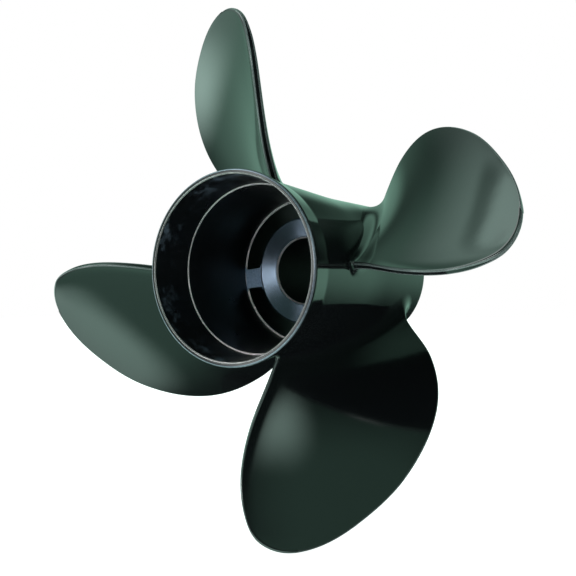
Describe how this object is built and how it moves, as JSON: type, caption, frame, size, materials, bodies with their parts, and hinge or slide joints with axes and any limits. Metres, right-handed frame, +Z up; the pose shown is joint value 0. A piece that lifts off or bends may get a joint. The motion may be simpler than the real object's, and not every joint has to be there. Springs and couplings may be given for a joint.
{
  "type": "outboard motor propeller",
  "caption": "Left-hand boat propeller with broad cupped blades on a tapered hub, a flared rim and an exhaust passage through the hub.",
  "frame": {"origin": "on the shaft axis, in the plane of the inner hub's forward thrust face", "axes": "+Y along the shaft axis towards the bow, +Z up; the flared exhaust rim is towards -Y"},
  "size_m": [0.345, 0.182, 0.345],
  "materials": {
    "gloss_black_paint": "gloss",
    "black_painted_inside": "satin"
  },
  "bodies": {
    "root": {"hub_barrel": "gloss_black_paint", "inner_hub": "black_painted_inside", "rib_1": "black_painted_inside", "rib_2": "black_painted_inside", "rib_3": "black_painted_inside", "blade_1": "gloss_black_paint", "blade_2": "gloss_black_paint", "blade_3": "gloss_black_paint", "blade_4": "gloss_black_paint"}
  },
  "joints": []
}
